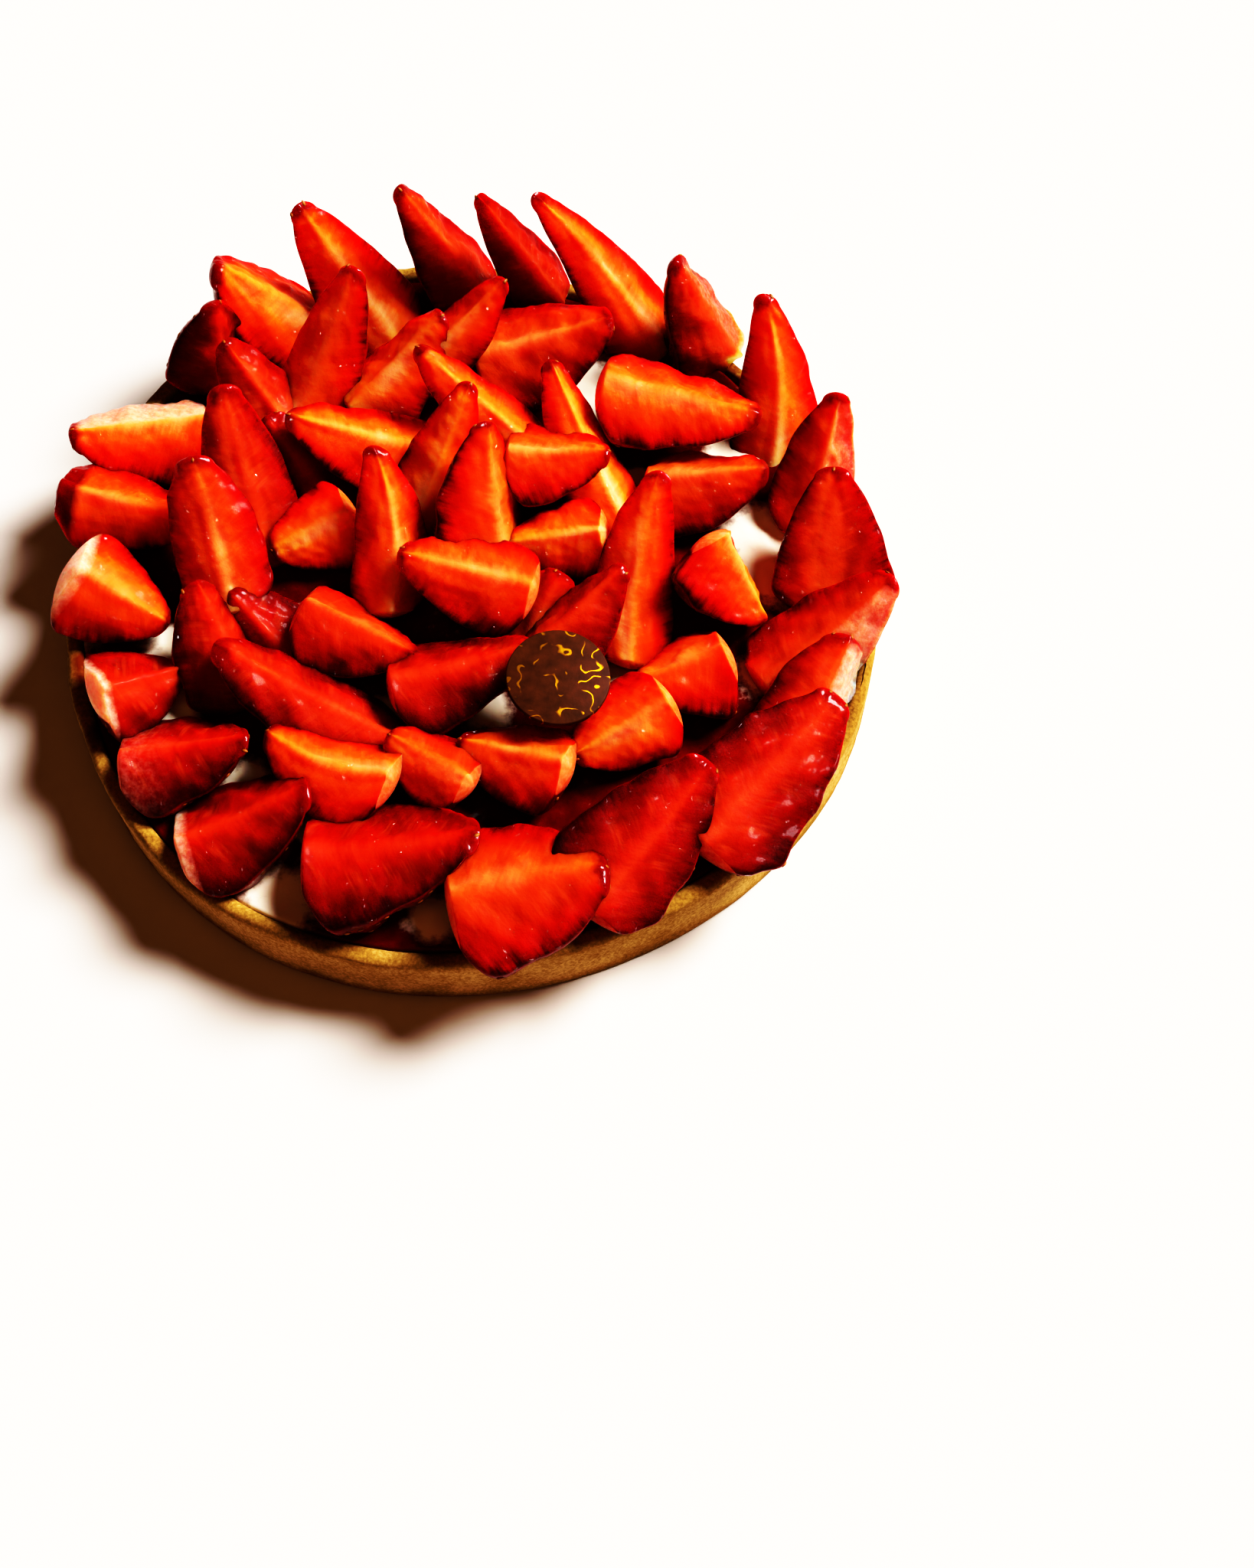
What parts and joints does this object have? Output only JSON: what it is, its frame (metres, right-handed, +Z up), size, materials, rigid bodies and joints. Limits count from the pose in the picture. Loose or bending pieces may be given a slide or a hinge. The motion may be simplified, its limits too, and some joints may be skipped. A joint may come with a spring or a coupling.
{
  "type": "strawberry tart",
  "caption": "Round strawberry tart: a low shortcrust shell filled with whipped cream, heaped with glazed cut strawberries and topped with a small round chocolate disc.",
  "frame": {"origin": "centre of the ring that the crust was baked in, on the flat underside", "axes": "+Z up, -Y towards the side from which the tart is shown"},
  "size_m": [0.2066, 0.2085, 0.056],
  "materials": {
    "shortcrust": "baked, fine grained, matt",
    "cream": "smooth, soft satin",
    "strawberry": "wet, glazed",
    "chocolate": "satin"
  },
  "bodies": {
    "root": {"crust": "shortcrust", "cream": "cream", "chocolate_disc": "chocolate", "back_1": "strawberry", "back_2": "strawberry", "back_3": "strawberry", "back_4": "strawberry", "back_5": "strawberry", "back_6": "strawberry", "back_7": "strawberry", "back_8": "strawberry", "right_1": "strawberry", "right_2": "strawberry", "right_3": "strawberry", "right_4": "strawberry", "right_5": "strawberry", "front_1": "strawberry", "front_2": "strawberry", "front_3": "strawberry", "front_4": "strawberry", "front_5": "strawberry", "left_1": "strawberry", "left_2": "strawberry", "left_3": "strawberry", "left_4": "strawberry", "left_5": "strawberry", "mid_1": "strawberry", "mid_2": "strawberry", "mid_3": "strawberry", "mid_4": "strawberry", "mid_5": "strawberry", "mid_6": "strawberry", "mid_7": "strawberry", "mid_8": "strawberry", "mid_9": "strawberry", "mid_10": "strawberry", "mid_11": "strawberry", "mid_12": "strawberry", "mid_13": "strawberry", "mid_14": "strawberry", "mid_15": "strawberry", "mid_16": "strawberry", "mid_17": "strawberry", "mid_18": "strawberry", "mid_19": "strawberry", "mid_20": "strawberry", "mid_21": "strawberry", "mid_22": "strawberry", "mid_23": "strawberry", "mid_24": "strawberry", "mid_25": "strawberry", "mid_26": "strawberry", "mid_27": "strawberry", "mid_28": "strawberry", "mid_29": "strawberry", "mid_30": "strawberry", "mid_31": "strawberry", "mid_32": "strawberry", "mid_33": "strawberry"}
  },
  "joints": []
}
